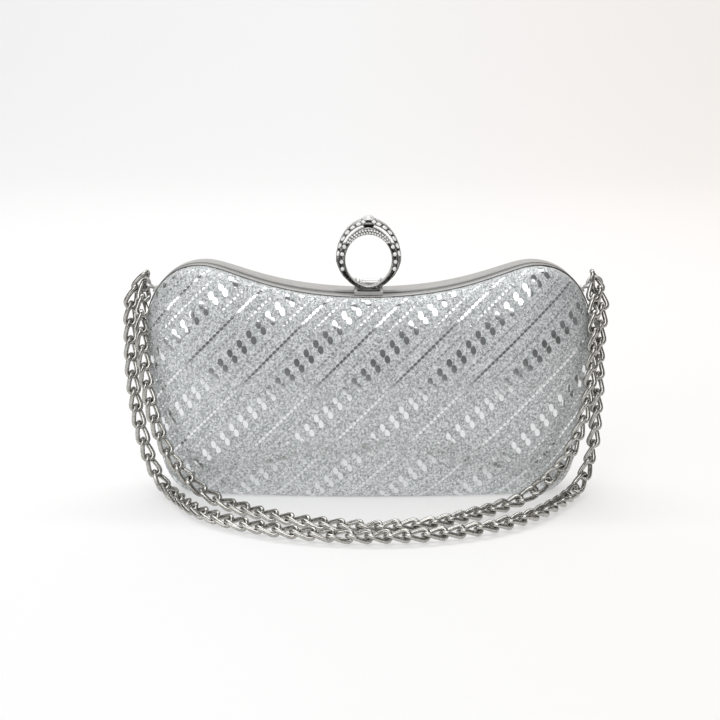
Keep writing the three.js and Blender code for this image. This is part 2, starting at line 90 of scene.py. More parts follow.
# ------------------------------------------------------------------ mesh helpers
def mesh_piece(name, points, faces, smooth=True, closed=True):
    """One object at the origin from arrays of points and of equal-sided faces. A
    closed surface whose signed volume is negative is turned the right way out."""
    points = np.asarray(points, dtype=np.float32)
    faces = np.asarray(faces, dtype=np.int32)
    sides = faces.shape[1]
    if closed:
        corners = points[faces].astype(float)
        fans = [np.cross(corners[:, k], corners[:, k + 1]) for k in range(1, sides - 1)]
        if sum((corners[:, 0] * fan).sum() for fan in fans) < 0:
            faces = faces[:, ::-1]
    mesh = bpy.data.meshes.new(name)
    mesh.vertices.add(len(points))
    mesh.vertices.foreach_set("co", points.ravel())
    mesh.loops.add(faces.size)
    mesh.loops.foreach_set("vertex_index", faces.ravel())
    mesh.polygons.add(len(faces))
    mesh.polygons.foreach_set("loop_start", np.arange(0, faces.size, sides, dtype=np.int32))
    mesh.polygons.foreach_set("use_smooth", np.full(len(faces), smooth))
    mesh.update(calc_edges=True)
    mesh.validate()
    piece = bpy.data.objects.new(name, mesh)
    bpy.context.collection.objects.link(piece)
    return piece


def grid_faces(rows, columns, row_loop=False, column_loop=True):
    """Quads between neighbouring rows and columns of a grid of points, as indices."""
    r = np.arange(rows if row_loop else rows - 1)[:, None]
    c = np.arange(columns if column_loop else columns - 1)[None, :]
    r2, c2 = (r + 1) % rows, (c + 1) % columns
    quads = np.stack([r * columns + c, r * columns + c2, r2 * columns + c2, r2 * columns + c], -1)
    return quads.reshape(-1, 4)


def unit(v):
    """Vectors of length one."""
    return v / np.linalg.norm(v, axis=-1, keepdims=True)


def many(points, faces, count):
    """Indices for count copies of one shape whose points lie one after another."""
    return (faces[None] + (np.arange(count) * points)[:, None, None]).reshape(-1, faces.shape[1])


def smooth_path(points, spacing):
    """A centripetal Catmull-Rom curve through the points, resampled evenly."""
    p = np.asarray(points, float)
    p = np.vstack([2 * p[0] - p[1], p, 2 * p[-1] - p[-2]])
    knots = np.concatenate([[0], np.cumsum(np.linalg.norm(np.diff(p, axis=0), axis=1) ** 0.5)])
    t = np.linspace(0, 1, 40, endpoint=False)
    pieces = []
    for i in range(1, len(p) - 2):
        k0, k1, k2, k3 = knots[i - 1:i + 3]
        u = (k1 + (k2 - k1) * t)[:, None]
        a1 = (k1 - u) / (k1 - k0) * p[i - 1] + (u - k0) / (k1 - k0) * p[i]
        a2 = (k2 - u) / (k2 - k1) * p[i] + (u - k1) / (k2 - k1) * p[i + 1]
        a3 = (k3 - u) / (k3 - k2) * p[i + 1] + (u - k2) / (k3 - k2) * p[i + 2]
        b1 = (k2 - u) / (k2 - k0) * a1 + (u - k0) / (k2 - k0) * a2
        b2 = (k3 - u) / (k3 - k1) * a2 + (u - k1) / (k3 - k1) * a3
        pieces.append((k2 - u) / (k2 - k1) * b1 + (u - k1) / (k2 - k1) * b2)
    fine = np.vstack([*pieces, p[-2:-1]])
    run = np.concatenate([[0], np.cumsum(np.linalg.norm(np.diff(fine, axis=0), axis=1))])
    count = max(2, int(round(run[-1] / spacing)) + 1)
    at = np.linspace(0, run[-1], count)
    return np.stack([np.interp(at, run, fine[:, k]) for k in range(3)], -1), run[-1]


# ------------------------------------------------------------------ curb chain
LINK_PITCH = 8.1 * MM
LINK_WIRE = 2.25 * MM
LINK_WIDTH = 6.9 * MM
LINK_LENGTH = LINK_PITCH + 2 * LINK_WIRE
LINK_TWIST = 1.35 * MM
OUTER_ROUTE = [
    (-105.5, -3.2, 101), (-108.4, -4.2, 97.6), (-110.2, -5.4, 91), (-110.8, -6.6, 80), (-110.8, -8, 62),
    (-109.2, -9, 43), (-105.9, -10.5, 26), (-101.4, -12.5, 13.5), (-96, -16.5, 6.2), (-90.5, -24, 4.3),
    (-84.5, -35, 4.1), (-77.5, -46, 4.1), (-66.5, -57, 4.1), (-52, -66.5, 4.1), (-34, -74.5, 4.1),
    (-14, -79.3, 4.1), (6, -80.3, 4.1), (26, -77.8, 4.1), (45, -71.5, 4.1), (61, -62.5, 4.1),
    (73.5, -52, 4.1), (83.5, -40, 4.1), (91.5, -28, 4.3), (98, -18.5, 6.0), (102.8, -13, 13),
    (106, -10.5, 26),
    (107.2, -9, 43), (107.4, -8, 62), (107.9, -6.6, 80), (108.3, -5.4, 91), (107.4, -4.2, 97.6),
    (105.5, -3.2, 101),
]
INNER_ROUTE = [
    (-104.2, -5, 96.9), (-104.4, -9.5, 92), (-104.4, -14.5, 84), (-103.4, -18.5, 70), (-101.4, -21.5, 54),
    (-97.6, -24.5, 38), (-91, -28, 24), (-81.6, -31, 13), (-70.8, -35.5, 6.4), (-59.5, -42, 4.3),
    (-46, -51.5, 4.1), (-30, -60.5, 4.1), (-11, -67, 4.1), (8, -68, 4.1), (27, -63.5, 4.1),
    (43.5, -54, 4.1), (57.5, -43.5, 4.3), (69.8, -36.5, 6.4), (81.2, -31.5, 13), (91, -28.5, 24),
    (97.4, -25, 38), (101, -22, 54), (102.6, -18.5, 70), (103.4, -14.5, 84), (103.8, -9.5, 92),
    (104.2, -5, 96.9),
]


def curb_chain(name, route):
    """Links strung along a route. A link is an oval of round wire whose two ends
    twist opposite ways: along = a cos t, across = b sin t, lift = c sin 2t."""
    centres, run = smooth_path(np.array(route) * MM, LINK_PITCH)
    tangent = unit(np.gradient(centres, axis=0))
    steep = np.abs(tangent[:, 2:3])
    ahead = np.hstack([0.75 * steep, -0.66 * steep - 0.2 * (1 - steep), 1.02 - steep])
    face = unit(ahead - (ahead * tangent).sum(1, keepdims=True) * tangent)
    across = np.cross(face, tangent)
    roll = rng.normal(0, np.radians(7), len(centres))[:, None]
    face, across = face * np.cos(roll) + across * np.sin(roll), across * np.cos(roll) - face * np.sin(roll)
    turns, sides = 22, 7
    t = np.arange(turns) * TAU / turns
    half_long = (LINK_LENGTH - LINK_WIRE) / 2
    half_wide = (LINK_WIDTH - LINK_WIRE) / 2
    oval = np.stack([
        half_long * np.sign(np.cos(t)) * np.abs(np.cos(t)) ** 0.85,
        half_wide * np.sign(np.sin(t)) * np.abs(np.sin(t)) ** 0.8,
        LINK_TWIST * np.sin(2 * t),
    ], -1)
    along_wire = unit(np.roll(oval, -1, 0) - np.roll(oval, 1, 0))
    out = unit(np.cross(along_wire, [0, 0, 1.0]))
    up = np.cross(out, along_wire)
    s = np.arange(sides) * TAU / sides
    ring = LINK_WIRE / 2 * (np.cos(s)[None, :, None] * out[:, None] + np.sin(s)[None, :, None] * up[:, None])
    link = (oval[:, None] + ring).reshape(-1, 3)
    basis = np.stack([tangent, across, face], 1)
    points = centres[:, None] + link[None] @ basis
    faces = many(turns * sides, grid_faces(turns, sides, row_loop=True), len(centres))
    return mesh_piece(name, points.reshape(-1, 3), faces), centres, run


# ------------------------------------------------------------------ the bag's outline
def bezier(a, b, c, d, t):
    """A cubic curve from a to d with handles b and c, at shares t."""
    t = t[:, None]
    return (1 - t) ** 3 * a + 3 * (1 - t) ** 2 * t * b + 3 * (1 - t) * t ** 2 * c + t ** 3 * d


def outline(count):
    """Even stations round the frame's outline, from the middle of the base up the
    right side: place and outward normal in XZ, and the frame's depth there. The
    half outline is a straight base and four cubic curves, mirrored."""
    foot, corner, crest = HALF_WIDTH - FOOT_IN, HALF_WIDTH - CORNER_IN, HALF_WIDTH - CREST_IN
    side, shoulder = WIDE - CORNER, CREST - WIDE
    curves = [
        [(0, 0), (foot / 3, 0), (foot * 2 / 3, 0), (foot, 0)],
        [(foot, 0), (foot + 0.01, 0), (corner - 0.0015, CORNER * 0.4), (corner, CORNER)],
        [(corner, CORNER), (corner + 0.002, CORNER + side * 0.35),
         (HALF_WIDTH, WIDE - side * 0.33), (HALF_WIDTH, WIDE)],
        [(HALF_WIDTH, WIDE), (HALF_WIDTH, WIDE + shoulder * 0.53), (crest + 0.019, CREST), (crest, CREST)],
        [(crest, CREST), (crest - 0.013, CREST), (crest * 0.62, DIP), (0, DIP)],
    ]
    t = np.linspace(0, 1, 200, endpoint=False)
    fine = np.vstack([bezier(*np.array(c, float), t) for c in curves] + [[[0, DIP]]])
    run = np.concatenate([[0], np.cumsum(np.linalg.norm(np.diff(fine, axis=0), axis=1))])
    at = np.linspace(0, run[-1], count // 2 + 1)
    right = np.stack([np.interp(at, run, fine[:, k]) for k in range(2)], -1)
    place = np.vstack([right, (right * [-1, 1])[-2:0:-1]])
    along = unit(np.roll(place, -1, 0) - np.roll(place, 1, 0))
    normal = np.stack([along[:, 1], -along[:, 0]], -1)
    depth = EDGE_MIDDLE + (EDGE_SIDE - EDGE_MIDDLE) * (place[:, 0] / HALF_WIDTH) ** 2
    return place, normal, depth


def dome(inset, crown, shares, side, count):
    """Rings over one half, from the frame's edge to the spine along the crown: the
    outline drawn in by each share, and raised by (1-(1-share)^n)^(1/n). Also gives
    the cloth's own flat coordinates: the spine's point plus the length run over
    the dome from it, in the direction of the outline."""
    place, normal, depth = outline(count)
    place = place - normal * inset
    spine = np.stack([np.clip(place[:, 0], -SPINE_HALF, SPINE_HALF), np.full(count, SPINE_HEIGHT)], -1)
    share = np.asarray(shares)[:, None]
    rise = (1 - (1 - share) ** FULLNESS) ** (1 / FULLNESS)
    rim = depth + GAP
    flat = place[None] + (spine - place)[None] * share[..., None]
    points = np.stack([flat[..., 0], side * (rim + (crown - rim) * rise), flat[..., 1]], -1)
    steps = np.linalg.norm(np.diff(points, axis=0), axis=2)
    last = np.linalg.norm(flat[-1] - spine, axis=1)
    reach = last + np.vstack([np.cumsum(steps[::-1], axis=0)[::-1], np.zeros(count)])
    cloth = spine[None] + unit(place - spine)[None] * reach[..., None]
    return points, cloth + FIGURE_SHIFT


def cut_size(cloth):
    """A dome's flat cut: how far its edge reaches when laid flat, and the area inside."""
    x, z = cloth[0].T
    area = abs((x * np.roll(z, -1) - z * np.roll(x, -1)).sum()) / 2
    return (float(np.ptp(x)), float(np.ptp(z))), float(area)


def crown_faces(row, count):
    """Quads that close a dome's last ring across its spine, joining the station i
    steps up one side to the one as many steps down from the top."""
    half = count // 2
    i = np.arange(half // 2)
    right = np.stack([i, i + 1, half - i - 1, half - i], -1)
    left = (count - right) % count
    return row * count + np.vstack([right, left[:, ::-1]])


# ------------------------------------------------------------------ figured cloth
ROW_REPEAT = 24.5
PAIR_STEP = 6.1
DOT_STEP = 2.3
DOT_ROW = 6.7
PAIR_SHIFT, PAIR_ROW = 0.21, 1.75
# The ovals lean 12 degrees. LONG and SHORT are the same lean taken from the diagonal.
LEAN_COS, LEAN_SIN = 0.978, 0.208
LEAN_LONG, LEAN_SHORT = 0.839, 0.545
FIGURE_SHIFT = np.array([-3.2, 3.2]) * MM


def figures(cloth):
    """Height of the foil figures, 0 to 1, at cloth coordinates in millimetres.
    a runs up along the diagonal, b across it: a row of paired ovals, a row of dots
    on each side of it. The dashes half way to the next pair lie flat, in the finish."""
    u, v = cloth[..., 0], cloth[..., 1]
    a, b = (u + v) / 2 ** 0.5, (u - v) / 2 ** 0.5
    b = b - ROW_REPEAT * np.round(b / ROW_REPEAT)
    height = np.zeros_like(a)
    for shift, row in ((PAIR_SHIFT, -PAIR_ROW), (-PAIR_SHIFT, PAIR_ROW)):
        da = a - shift - PAIR_STEP * np.round((a - shift) / PAIR_STEP)
        db = b - row
        du, dv = (da + db) / 2 ** 0.5, (da - db) / 2 ** 0.5
        lean_u = du * LEAN_COS + dv * LEAN_SIN
        lean_v = dv * LEAN_COS - du * LEAN_SIN
        height = np.maximum(height, 1.15 - (lean_u / 1.5) ** 2 - (lean_v / 2.2) ** 2)
    da = a - DOT_STEP * np.round(a / DOT_STEP)
    height = np.maximum(height, 0.6 * (1.1 - (da / 0.9) ** 2 - ((np.abs(b) - DOT_ROW) / 0.8) ** 2))
    return np.clip(3 * height, 0, 1)


def cloth_cover(name, side):
    """The fabric on one half: a turned-under rim, the dome with its foil figures
    standing 0.06 mm proud, and quads across the spine. Its UV is the cloth's own
    flat place in millimetres. Also gives the cut's size and area."""
    count, wall, relief = 722, 0.9 * MM, 0.06 * MM
    shares = np.concatenate([
        (1 - np.cos(np.linspace(0, np.pi / 2, 40))) * 0.22,
        np.linspace(0.22, 0.985, 58)[1:],
    ])
    shares[0] = 0.0
    points, cloth = dome(COVER_INSET, CROWN, shares, side, count)
    cloth_mm = cloth / MM
    du = np.gradient(points, axis=1)
    du[:, 0] = du[:, -1] = (points[:, 1] - points[:, -1]) / 2
    normal = unit(np.cross(np.gradient(points, axis=0), du))
    normal *= np.sign((normal[..., 1:2] * side).sum())
    fade = np.clip(np.asarray(shares) / 0.03, 0, 1)[:, None, None]
    points = points + normal * (figures(cloth_mm)[..., None] * relief * fade)
    place, out, depth = outline(count)
    under = place - out * (COVER_INSET + wall)
    tuck = np.stack([under[:, 0], side * (depth + GAP), under[:, 1]], -1)
    inner = tuck + [0, side * 2 * MM, 0]
    rows = np.concatenate([inner[None], tuck[None], points])
    uv_rows = np.concatenate([cloth_mm[:1], cloth_mm[:1], cloth_mm])
    faces = np.vstack([grid_faces(len(rows), count), crown_faces(len(rows) - 1, count)])
    if side > 0:
        faces = faces[:, ::-1]
    piece = mesh_piece(name, rows.reshape(-1, 3), faces, closed=False)
    write_uv(piece, "cloth", uv_rows.reshape(-1, 2))
    return piece, cut_size(cloth)


def write_uv(piece, name, per_point):
    """A UV map from one pair of coordinates for each point."""
    mesh = piece.data
    corner = np.empty(len(mesh.loops), dtype=np.int32)
    mesh.loops.foreach_get("vertex_index", corner)
    layer = mesh.uv_layers.new(name=name)
    layer.data.foreach_set("uv", per_point[corner].astype(np.float32).ravel())


# ------------------------------------------------------------------ frame bands
BAND_WALL = 1.3 * MM
GROOVE = ((0, 0.455), (0.15, 0.46), (0.7, 0.465), (0.7, 0.52), (0.15, 0.525), (0, 0.53))


def frame_band(name, side):
    """One half's metal rim: its section carried round the outline. The front one
    has a groove half way across. Both have painted shade along their rolled edges,
    and the front one also in its groove: a mix towards near black."""
    count = 480
    place, normal, depth = outline(count)
    near = GAP / 2
    turn = np.linspace(0, np.pi / 2, 6)
    r = 0.55 * MM
    section = [(r * (1 - np.sin(t)), near + r * (1 - np.cos(t)), 0) for t in turn]
    # shade is painted shade, 1 for near black: on the rolled edges and in the groove.
    shade = [*np.linspace(1, 0, len(turn))]
    if side < 0:
        section += [(inset * MM, 0, share) for inset, share in GROOVE]
        shade += [0.9] * len(GROOVE)
    section += [(r * (1 - np.cos(t)), -r * (1 - np.sin(t)), 1) for t in turn]
    section += [(BAND_WALL, 0, 1), (BAND_WALL, near, 0)]
    shade += [*np.linspace(0, 0.8, len(turn)), 1, 1]
    inset, offset, share = (np.array(c)[:, None] for c in zip(*section))
    flat = place[None] - normal[None] * inset[..., None]
    below = np.maximum(HINGE_HEIGHT - flat[..., 1], 0)
    knuckles = np.abs(np.abs(flat[..., 0]) - HINGE_X) < HINGE_LENGTH / 2 + GAP
    relief = np.maximum(below * np.tan(np.radians(30)), knuckles * (below > 0) * 1.75 * MM)
    y = side * np.maximum(offset + share * depth[None], relief)
    points = np.stack([flat[..., 0], y, flat[..., 1]], -1)
    piece = mesh_piece(name, points.reshape(-1, 3), grid_faces(len(section), count, row_loop=True))
    # The painted shade goes on as a point attribute that the band's material reads.
    layer = piece.data.attributes.new("painted_shade", "FLOAT", "POINT")
    layer.data.foreach_set("value", np.repeat(shade, count).astype(np.float32))
    return piece


# ------------------------------------------------------------------ finger ring
HOLE = np.array([10.85, 12.05]) * MM
BAND = np.array([15.3, 19.4]) * MM
RING_CENTRE = 110.4 * MM
RING_NEAR, RING_FAR = -1 * MM, 6 * MM
TONGUE_LOW = np.array([-5.1, -12, 96.9]) * MM
TONGUE_HIGH = np.array([5.1, 9, 98.3]) * MM
PIN_PLACE = (0, 9, 98.5)
CROWN_PLACE = (0, 2.5, 0)
COLLAR_WIRE = 0.17 * MM


def on_ring(turn, out):
    """XZ places round the ring, turn clockwise from the crown and out from 0 at
    the finger hole's ellipse to 1 at the band's outer one."""
    size = HOLE + (BAND - HOLE) * np.asarray(out)[..., None]
    x, z = size[..., 0] * np.sin(turn), size[..., 1] * np.cos(turn)
    return np.stack([x, RING_CENTRE + z], -1)


def ring_hoop(name, low, high, groove):
    """A hoop between two sets of places out from the hole, one for each turn. Its
    section is a rectangle with a bead along each edge and grooves between them."""
    count = len(low)
    turn = np.arange(count) * TAU / count
    face = [(0, 0.6), (0.05, 0.25), (0.14, 0), (0.24, 0.05), (0.3, groove), (0.7, groove), (0.76, 0.05),
            (0.86, 0), (0.95, 0.25), (1, 0.6), (0.97, 1.3), (1, 2.0)]
    share = np.array([c[0] for c in face] + [c[0] for c in face[::-1]])
    y = np.concatenate([[RING_NEAR + c[1] * MM for c in face], [RING_FAR - c[1] * MM for c in face[::-1]]])
    out = low[None] + (high - low)[None] * share[:, None]
    flat = on_ring(np.broadcast_to(turn, out.shape), out)
    points = np.stack([flat[..., 0], np.broadcast_to(y[:, None], out.shape), flat[..., 1]], -1)
    return mesh_piece(name, points.reshape(-1, 3), grid_faces(len(share), count, row_loop=True))


def stones(name, centres, sizes, ups, sides=8):
    """Cut stones: culet, girdle, crown and table rings about each one's facing
    direction -Y or +Y. ups are the XZ directions their long axis points along."""
    levels = [(0.12, -0.5), (1, -0.06), (1, 0.06), (0.8, 0.32), (0.5, 0.45)]
    t = (np.arange(sides) + 0.5) * TAU / sides
    shape = np.stack([np.stack([r * np.sin(t), r * np.cos(t), np.full(sides, h)], -1) for r, h in levels])
    flip = np.where(centres[:, 1] < (RING_NEAR + RING_FAR) / 2, -1.0, 1.0)
    up = np.stack([ups[:, 0], 0 * flip, ups[:, 1]], -1)
    wide = np.stack([ups[:, 1], 0 * flip, -ups[:, 0]], -1) * flip[:, None]
    outward = np.stack([0 * flip, flip, 0 * flip], -1)
    depth = sizes.min(axis=1)
    points = (centres[:, None]
              + shape.reshape(-1, 3)[None, :, :1] * (wide * sizes[:, :1])[:, None]
              + shape.reshape(-1, 3)[None, :, 1:2] * (up * sizes[:, 1:])[:, None]
              + shape.reshape(-1, 3)[None, :, 2:] * (outward * depth[:, None])[:, None])
    ends = np.array([[0, 1, 2, 3], [0, 3, 4, 7], [7, 4, 5, 6]])
    faces = np.vstack([grid_faces(len(levels), sides), ends[:, ::-1], ends + (len(levels) - 1) * sides])
    return mesh_piece(name, points.reshape(-1, 3), many(sides * len(levels), faces, len(centres)), False)


def collars(name, centres, sizes, ups, wire):
    """A round wire round each stone's girdle, as its setting."""
    turns, sides = 14, 6
    t, s = np.arange(turns) * TAU / turns, np.arange(sides) * TAU / sides
    up = np.stack([ups[:, 0], 0 * ups[:, 0], ups[:, 1]], -1)
    wide = np.stack([ups[:, 1], 0 * ups[:, 0], -ups[:, 0]], -1)
    reach = sizes[:, None, None, :] + wire * np.cos(s)[None, None, :, None]
    points = (centres[:, None, None]
              + wide[:, None, None] * reach[..., :1] * np.sin(t)[None, :, None, None]
              + up[:, None, None] * reach[..., 1:] * np.cos(t)[None, :, None, None]
              + np.array([0, 1.0, 0]) * wire * np.sin(s)[None, None, :, None])
    faces = many(turns * sides, grid_faces(turns, sides, row_loop=True), len(centres))
    return mesh_piece(name, points.reshape(-1, 3), faces)


def stone_places(turns, out):
    """Centres on the ring's two faces, and the direction out from its middle."""
    place = on_ring(turns, np.broadcast_to(out, turns.shape))
    ups = unit(place - [0, RING_CENTRE])
    front = np.stack([place[:, 0], np.full(len(place), RING_NEAR - 0.1 * MM), place[:, 1]], -1)
    back = front * [1, 0, 1] + [0, RING_FAR + 0.1 * MM, 0]
    return np.vstack([front, back]), np.vstack([ups, ups])


def block(name, low, high, corner, dish=0.0, wall=0.0):
    """A block with rounded corners and edges, and if it is dished, a raised wall
    round a sunk floor on top. Loops of a rounded rectangle, one above another."""
    count = 42
    t = (np.arange(count) + 0.5) * TAU / count
    centre, half = (low + high) / 2, (high - low) / 2

    def loop(inset, z):
        """One rounded rectangle at a height, drawn in by the inset."""
        size = half[:2] - inset
        power = 2 / (2 + size.min() / corner)
        x = size[0] * np.sign(np.sin(t)) * np.abs(np.sin(t)) ** power
        y = -size[1] * np.sign(np.cos(t)) * np.abs(np.cos(t)) ** power
        return np.stack([centre[0] + x, centre[1] + y, np.full(count, z)], -1)

    soft = 0.2 * MM
    loops = [loop(soft, low[2]), loop(0, low[2] + soft), loop(0, high[2] - soft), loop(soft, high[2])]
    if dish:
        loops += [loop(wall - soft, high[2]), loop(wall, high[2] - soft), loop(wall, high[2] - dish)]
    caps = crown_faces(0, count)
    top = crown_faces(len(loops) - 1, count)
    faces = np.vstack([grid_faces(len(loops), count), caps[:, ::-1], top])
    return mesh_piece(name, np.vstack(loops), faces, smooth=False)


def turned(name, levels, centre, axis, sides=22, smooth=False):
    """A turned solid: rings of each radius and height about an axis, 2 for upright
    or 0 for along X, closed by caps. sides is 4k + 2."""
    t = (np.arange(sides) + 0.5) * TAU / sides
    radius, rise = (np.array(c)[:, None] * MM for c in zip(*levels))
    ring = np.stack([radius * np.sin(t), radius * np.cos(t), np.broadcast_to(rise, (len(levels), sides))], -1)
    points = ring.reshape(-1, 3)[:, [0, 1, 2] if axis == 2 else [2, 0, 1]] + np.array(centre) * MM
    faces = np.vstack([grid_faces(len(levels), sides), crown_faces(0, sides)[:, ::-1],
                       crown_faces(len(levels) - 1, sides)])
    return mesh_piece(name, points, faces, smooth)


# ------------------------------------------------------------------ lining and pocket
LINING_INSET = 4.4 * MM
LINING_CROWN = 23.1 * MM
LINING_EDGE = 1.8 * MM
STITCH_PITCH, STITCH_LENGTH, THREAD = 2.4 * MM, 1.6 * MM, 0.14 * MM
POCKET_HALF, POCKET_LOW, POCKET_TOP, POCKET_FACE = 42 * MM, 28 * MM, 72 * MM, 19 * MM


def satin_lining(name, side):
    """The lining of one half, seen from inside: a straight wall behind the frame,
    then a dome inside the shell. Its slack is three waves round the outline that
    grow away from both edges. Also gives the dome's points and the cut's size."""
    count = 482
    shares = (1 - np.cos(np.linspace(0, np.pi / 2, 44))) * 0.985
    points, cloth = dome(LINING_INSET, LINING_CROWN, shares, side, count)
    turn = np.arange(count) * TAU / count
    waves = np.sin(13 * turn + 1) + np.sin(29 * turn) + 0.7 * np.sin(53 * turn + 2)
    slack = np.sin(np.pi * np.clip(shares / 0.9, 0, 1)) * 0.16 * MM
    points[..., 1] -= side * (slack[:, None] * (waves + 2.7))
    rim = points[0] * [1, 0, 1] + [0, side * LINING_EDGE, 0]
    wall = rim + (points[0] - rim) * np.linspace(0, 1, 5)[:4, None, None]
    rows = np.concatenate([wall, points])
    faces = np.vstack([grid_faces(len(rows), count), crown_faces(len(rows) - 1, count)])
    if side < 0:
        faces = faces[:, ::-1]
    piece = mesh_piece(name, rows.reshape(-1, 3), faces, closed=False)
    return piece, points.reshape(-1, 3), cut_size(cloth)


def pocket_panel(name, lining):
    """An open-topped pocket sewn to the back lining: a sagging panel whose sides
    and foot curve back to the nearest lining, with a thicker folded hem on top. Also gives its front
    face and the row where the hem starts."""
    columns, rows = 72, 40
    x = np.linspace(-POCKET_HALF, POCKET_HALF, columns)
    z = np.linspace(POCKET_LOW, POCKET_TOP, rows)
    gx, gz = np.meshgrid(x, z)
    flat = np.stack([gx, gz], -1).reshape(-1, 2)
    near = np.array([lining[((lining[:, [0, 2]] - p) ** 2).sum(1).argmin(), 1] for p in flat])
    back = near.reshape(rows, columns) - 0.5 * MM
    edge = np.minimum((POCKET_HALF - np.abs(gx)) / (7 * MM), (gz - POCKET_LOW) / (7 * MM))
    hold = np.clip(1 - edge, 0, 1) ** 1.6
    sag = 0.5 * MM * np.cos(gx / POCKET_HALF * np.pi / 2) * (gz - POCKET_LOW) / (POCKET_TOP - POCKET_LOW)
    y = POCKET_FACE - sag + (back - POCKET_FACE) * hold
    thick = np.where(gz > POCKET_TOP - 3.5 * MM, 0.45, 0.25) * MM
    front = np.stack([gx, y - thick, gz], -1)
    rear = np.stack([gx, y + thick, gz], -1)
    section = np.concatenate([front, rear[::-1]])
    faces = grid_faces(2 * rows, columns, row_loop=True, column_loop=False)
    i = np.arange(rows - 1)
    end = np.stack([i, i + 1, 2 * rows - 2 - i, 2 * rows - 1 - i], -1) * columns
    faces = np.vstack([faces, end, (end + columns - 1)[:, ::-1]])
    hem_at = int(np.searchsorted(z, POCKET_TOP - 3.5 * MM))
    return mesh_piece(name, section.reshape(-1, 3), faces), front, hem_at


def stitches(name, line, pitch, length, wire):
    """Short threads along a line: rings of six round each one's own run."""
    places, _ = smooth_path(line, pitch)
    along = unit(np.gradient(places, axis=0))
    over = unit(np.cross(along, [0, -1.0, 0]))
    up = np.cross(along, over)
    t = np.arange(6) * TAU / 6
    levels = [(0.3, -0.5), (1, -0.3), (1, 0.3), (0.3, 0.5)]
    points = np.concatenate([
        places[:, None] + along[:, None] * length * h
        + wire * r * (np.cos(t)[None, :, None] * over[:, None] + np.sin(t)[None, :, None] * up[:, None])
        for r, h in levels], axis=1)
    faces = np.vstack([grid_faces(4, 6), crown_faces(0, 6)[:, ::-1], crown_faces(3, 6)])
    return mesh_piece(name, points.reshape(-1, 3), many(24, faces, len(places)))


# ------------------------------------------------------------------ finishes
class Finish:
    """A material with short ways to add nodes. Base values go on the shader."""

    def __init__(self, name, colour, metallic, roughness, **more):
        self.material = bpy.data.materials.new(name)
        self.material.use_nodes = True
        self.tree = self.material.node_tree
        self.shader = self.tree.nodes["Principled BSDF"]
        self.shader.inputs["Base Color"].default_value = (*colour, 1)
        self.shader.inputs["Metallic"].default_value = metallic
        self.shader.inputs["Roughness"].default_value = roughness
        for socket, value in more.items():
            self.shader.inputs[socket.replace("_", " ")].default_value = value

    def add(self, kind, inputs, out=0, **settings):
        """A node with its inputs linked or set. Gives one of its outputs."""
        node = self.tree.nodes.new(kind)
        for key, value in settings.items():
            setattr(node, key, value)
        for key, value in inputs.items():
            if isinstance(value, bpy.types.NodeSocket):
                self.tree.links.new(value, node.inputs[key])
            else:
                node.inputs[key].default_value = value
        return node.outputs[out]

    def math(self, operation, a, b=0.0, c=0.0):
        return self.add("ShaderNodeMath", {0: a, 1: b, 2: c}, operation=operation)

    def linear(self, a, ka, b, kb):
        """a times ka plus b times kb."""
        return self.math("MULTIPLY_ADD", a, ka, self.math("MULTIPLY", b, kb))

    def span(self, value, low, high, to_low=0.0, to_high=1.0):
        """A value moved from one range to another, and held inside it."""
        return self.add("ShaderNodeMapRange", {0: value, 1: low, 2: high, 3: to_low, 4: to_high})

    def mix(self, factor, a, b):
        """One colour turning into another as the factor goes from 0 to 1."""
        colours = [(*c, 1) if isinstance(c, tuple) else c for c in (a, b)]
        return self.add("ShaderNodeMix", {0: factor, 6: colours[0], 7: colours[1]}, 2, data_type="RGBA")

    def place(self, uv=None):
        """Where a point lies: on the object itself, or in its own UV."""
        if uv:
            return self.add("ShaderNodeUVMap", {}, uv_map=uv)
        return self.add("ShaderNodeTexCoord", {}, 3)

    def noise(self, where, scale, detail=2.0, rough=0.5):
        return self.add("ShaderNodeTexNoise", {"Vector": where, "Scale": scale, "Detail": detail,
                                               "Roughness": rough})

    def cells(self, where, scale, out=0, feature="F1"):
        """A pattern of cells: the distance to a centre, or output 1, a colour each."""
        return self.add("ShaderNodeTexVoronoi", {"Vector": where, "Scale": scale}, out, feature=feature)

    def bump(self, height, distance, strength=1.0):
        self.drive("Normal", self.add("ShaderNodeBump", {"Height": height, "Distance": distance,
                                                         "Strength": strength}))

    def drive(self, socket, output):
        self.tree.links.new(output, self.shader.inputs[socket])


def plated(name, colour, dark, roughness, grain, depth, painted_shade=None):
    """Plated metal: polish that varies a little, fine scuffs, patches of another
    tone, and painted shade, a mix towards near black, where the piece's own attribute has it."""
    f = Finish(name, colour, 1.0, roughness)
    where = f.place()
    patches = f.span(f.noise(where, grain, 5.0, 0.6), 0.35, 0.7)
    base = f.mix(patches, colour, dark)
    if painted_shade:
        # Painted shade: the base colour goes towards near black by the piece's attribute.
        base = f.mix(f.add("ShaderNodeAttribute", {}, 2, attribute_name=painted_shade), base, (0.02, 0.02, 0.02))
    f.drive("Base Color", base)
    f.drive("Roughness", f.span(f.noise(where, grain * 4, 3.0), 0.3, 0.7, roughness * 0.9, roughness * 1.2))
    f.bump(f.noise(where, grain * 9, 2.0), depth, 0.4)
    return f.material


def worn_silver(name, colour, dark, roughness):
    """Antique silver: bright on the wire's crowns, black in the hollows, which
    pointiness finds by the shape itself."""
    f = Finish(name, colour, 1.0, roughness)
    hollow = f.span(f.add("ShaderNodeNewGeometry", {}, 7), 0.43, 0.515)
    cloud = f.noise(f.place(), 900.0, 3.0)
    worn = f.math("MULTIPLY", hollow, f.span(cloud, 0.25, 0.6, 0.55, 1.0))
    f.drive("Base Color", f.mix(worn, dark, colour))
    f.drive("Roughness", f.span(cloud, 0.3, 0.7, roughness * 0.8, roughness * 1.6))
    f.bump(f.noise(f.place(), 3000.0, 2.0), 0.00003, 0.3)
    return f.material


